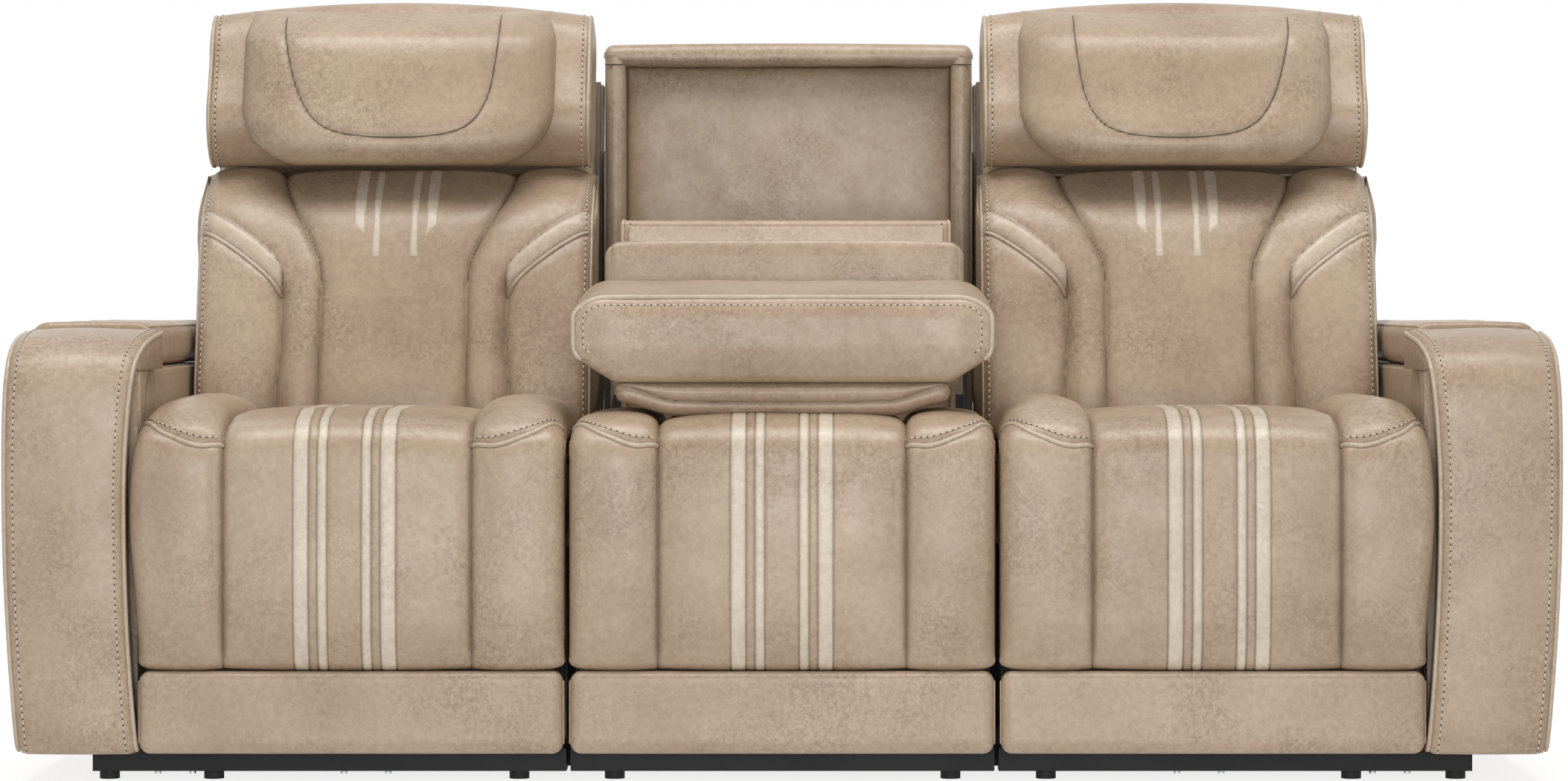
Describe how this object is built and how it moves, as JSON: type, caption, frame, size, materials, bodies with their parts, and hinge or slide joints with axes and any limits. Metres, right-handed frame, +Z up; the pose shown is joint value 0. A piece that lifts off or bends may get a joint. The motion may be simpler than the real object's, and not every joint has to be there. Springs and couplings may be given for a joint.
{
  "type": "power reclining sofa",
  "caption": "Power reclining sofa in distressed taupe leather with cream trim: fold-down centre table with cup wells, swing-out footrests, tilting headrests, lift-up arm storage.",
  "frame": {"origin": "on the floor under the middle of the sofa's width and depth", "axes": "+X along the sofa to the right as seen from the front, +Y from the front to the rear, +Z up"},
  "size_m": [2.235, 0.9849, 1.1496],
  "materials": {
    "taupe_leather": "satin",
    "rear_cover": "matte",
    "plywood": "matte",
    "black_steel": "satin",
    "zinc": "satin",
    "cup_steel": "satin",
    "black_plastic": "matte",
    "switch_plastic": "satin"
  },
  "bodies": {
    "base": {"base_frames": "black_steel", "rear_panels": "rear_cover", "feet": "black_plastic", "base_bolts": "zinc", "left_arm_body": "taupe_leather", "right_arm_body": "taupe_leather", "left_arm_front": "taupe_leather", "right_arm_front": "taupe_leather", "lid_hinges": "zinc", "left_seat_frame": "plywood", "center_seat_frame": "plywood", "right_seat_frame": "plywood", "left_seat_cushion": "taupe_leather", "center_seat_cushion": "taupe_leather", "right_seat_cushion": "taupe_leather", "actuators": "black_plastic", "power_supply": "black_plastic", "switch_plates": "black_plastic"},
    "left_footrest": {"left_footrest_frame": "black_steel", "left_footrest_pad": "taupe_leather", "left_footrest_lower_pad": "taupe_leather"},
    "left_crank": {"left_drive_shaft": "zinc"},
    "left_links": {"left_push_links": "zinc"},
    "left_rod": {"left_actuator_rod": "zinc"},
    "center_footrest": {"center_footrest_frame": "black_steel", "center_footrest_pad": "taupe_leather", "center_footrest_lower_pad": "taupe_leather"},
    "center_crank": {"center_drive_shaft": "zinc"},
    "center_links": {"center_push_links": "zinc"},
    "center_rod": {"center_actuator_rod": "zinc"},
    "right_footrest": {"right_footrest_frame": "black_steel", "right_footrest_pad": "taupe_leather", "right_footrest_lower_pad": "taupe_leather"},
    "right_crank": {"right_drive_shaft": "zinc"},
    "right_links": {"right_push_links": "zinc"},
    "right_rod": {"right_actuator_rod": "zinc"},
    "left_back": {"left_back_frame": "rear_cover", "left_back_cushion": "taupe_leather"},
    "left_headrest": {"left_headrest_frame": "black_steel", "left_headrest_bolster": "taupe_leather", "left_headrest_pad": "taupe_leather"},
    "left_lid": {"left_arm_lid": "taupe_leather"},
    "right_back": {"right_back_frame": "rear_cover", "right_back_cushion": "taupe_leather"},
    "right_headrest": {"right_headrest_frame": "black_steel", "right_headrest_bolster": "taupe_leather", "right_headrest_pad": "taupe_leather"},
    "right_lid": {"right_arm_lid": "taupe_leather"},
    "center_back": {"center_back_frame": "black_steel", "center_back_shell": "taupe_leather"},
    "table": {"table_board": "plywood", "table_back_cushion": "taupe_leather", "table_console": "taupe_leather", "cup_holders": "cup_steel", "table_bolster": "taupe_leather", "table_head_pad": "taupe_leather"},
    "left_recline_switch": {"left_recline_rocker": "switch_plastic"},
    "left_headrest_switch": {"left_headrest_rocker": "switch_plastic"},
    "right_recline_switch": {"right_recline_rocker": "switch_plastic"},
    "right_headrest_switch": {"right_headrest_rocker": "switch_plastic"}
  },
  "joints": [
    {"name": "left_footrest_hinge", "type": "hinge", "parent": "base", "child": "left_footrest", "pos_m": [-0.618, -0.447, 0.47], "axis": [-1, 0, 0], "range_deg": [0, 88]},
    {"name": "left_crank_hinge", "type": "hinge", "parent": "base", "child": "left_crank", "pos_m": [-0.618, -0.207, 0.4], "axis": [-1, 0, 0], "range_deg": [0, 88.1]},
    {"name": "left_link_hinge", "type": "hinge", "parent": "left_crank", "child": "left_links", "pos_m": [-0.618, -0.152, 0.25], "axis": [-1, 0, 0], "range_deg": [-88.1, 0]},
    {"name": "left_actuator_slide", "type": "slide", "parent": "base", "child": "left_rod", "axis": [0, -1, 0], "range_m": [0, 0.1252]},
    {"name": "center_footrest_hinge", "type": "hinge", "parent": "base", "child": "center_footrest", "pos_m": [0, -0.447, 0.47], "axis": [-1, 0, 0], "range_deg": [0, 88]},
    {"name": "center_crank_hinge", "type": "hinge", "parent": "base", "child": "center_crank", "pos_m": [0, -0.207, 0.4], "axis": [-1, 0, 0], "range_deg": [0, 88.1]},
    {"name": "center_link_hinge", "type": "hinge", "parent": "center_crank", "child": "center_links", "pos_m": [0, -0.152, 0.25], "axis": [-1, 0, 0], "range_deg": [-88.1, 0]},
    {"name": "center_actuator_slide", "type": "slide", "parent": "base", "child": "center_rod", "axis": [0, -1, 0], "range_m": [0, 0.1252]},
    {"name": "right_footrest_hinge", "type": "hinge", "parent": "base", "child": "right_footrest", "pos_m": [0.618, -0.447, 0.47], "axis": [-1, 0, 0], "range_deg": [0, 88]},
    {"name": "right_crank_hinge", "type": "hinge", "parent": "base", "child": "right_crank", "pos_m": [0.618, -0.207, 0.4], "axis": [-1, 0, 0], "range_deg": [0, 88.1]},
    {"name": "right_link_hinge", "type": "hinge", "parent": "right_crank", "child": "right_links", "pos_m": [0.618, -0.152, 0.25], "axis": [-1, 0, 0], "range_deg": [-88.1, 0]},
    {"name": "right_actuator_slide", "type": "slide", "parent": "base", "child": "right_rod", "axis": [0, -1, 0], "range_m": [0, 0.1252]},
    {"name": "left_recline_hinge", "type": "hinge", "parent": "base", "child": "left_back", "pos_m": [-0.618, 0.135, 0.405], "axis": [-1, 0, 0], "range_deg": [0, 28.05]},
    {"name": "center_recline_hinge", "type": "hinge", "parent": "base", "child": "center_back", "pos_m": [0, 0.135, 0.405], "axis": [-1, 0, 0], "range_deg": [0, 28.05]},
    {"name": "right_recline_hinge", "type": "hinge", "parent": "base", "child": "right_back", "pos_m": [0.618, 0.135, 0.405], "axis": [-1, 0, 0], "range_deg": [0, 28.05]},
    {"name": "left_headrest_hinge", "type": "hinge", "parent": "left_back", "child": "left_headrest", "pos_m": [-0.611, 0.26297, 0.975], "axis": [1, 0, 0], "range_deg": [0, 20]},
    {"name": "right_headrest_hinge", "type": "hinge", "parent": "right_back", "child": "right_headrest", "pos_m": [0.611, 0.26297, 0.975], "axis": [1, 0, 0], "range_deg": [0, 20]},
    {"name": "table_hinge", "type": "hinge", "parent": "center_back", "child": "table", "pos_m": [0, 0.143, 0.6], "axis": [-1, 0, 0], "range_deg": [0, 106]},
    {"name": "left_lid_hinge", "type": "hinge", "parent": "base", "child": "left_lid", "pos_m": [-1.1, 0.042, 0.606], "axis": [0, -1, 0], "range_deg": [0, 80]},
    {"name": "right_lid_hinge", "type": "hinge", "parent": "base", "child": "right_lid", "pos_m": [1.1, 0.042, 0.606], "axis": [0, 1, 0], "range_deg": [0, 80]},
    {"name": "left_recline_switch_hinge", "type": "hinge", "parent": "base", "child": "left_recline_switch", "pos_m": [-1.109, -0.312, 0.505], "axis": [0, 1, 0], "range_deg": [-6, 6], "stiffness_Nm_per_rad": 0.4},
    {"name": "left_headrest_switch_hinge", "type": "hinge", "parent": "base", "child": "left_headrest_switch", "pos_m": [-1.109, -0.268, 0.505], "axis": [0, 1, 0], "range_deg": [-6, 6], "stiffness_Nm_per_rad": 0.4},
    {"name": "right_recline_switch_hinge", "type": "hinge", "parent": "base", "child": "right_recline_switch", "pos_m": [1.109, -0.312, 0.505], "axis": [0, 1, 0], "range_deg": [-6, 6], "stiffness_Nm_per_rad": 0.4},
    {"name": "right_headrest_switch_hinge", "type": "hinge", "parent": "base", "child": "right_headrest_switch", "pos_m": [1.109, -0.268, 0.505], "axis": [0, 1, 0], "range_deg": [-6, 6], "stiffness_Nm_per_rad": 0.4}
  ],
  "couplings": [
    {"joint": "left_crank_hinge", "follows": "left_footrest_hinge", "ratio": 1},
    {"joint": "left_link_hinge", "follows": "left_footrest_hinge", "ratio": -1},
    {"joint": "left_actuator_slide", "follows": "left_footrest_hinge", "m_per_rad": 0.081412},
    {"joint": "center_crank_hinge", "follows": "center_footrest_hinge", "ratio": 1},
    {"joint": "center_link_hinge", "follows": "center_footrest_hinge", "ratio": -1},
    {"joint": "center_actuator_slide", "follows": "center_footrest_hinge", "m_per_rad": 0.081412},
    {"joint": "right_crank_hinge", "follows": "right_footrest_hinge", "ratio": 1},
    {"joint": "right_link_hinge", "follows": "right_footrest_hinge", "ratio": -1},
    {"joint": "right_actuator_slide", "follows": "right_footrest_hinge", "m_per_rad": 0.081412},
    {"joint": "left_recline_hinge", "follows": "left_footrest_hinge", "ratio": 0.31818},
    {"joint": "center_recline_hinge", "follows": "center_footrest_hinge", "ratio": 0.31818},
    {"joint": "right_recline_hinge", "follows": "right_footrest_hinge", "ratio": 0.31818}
  ]
}
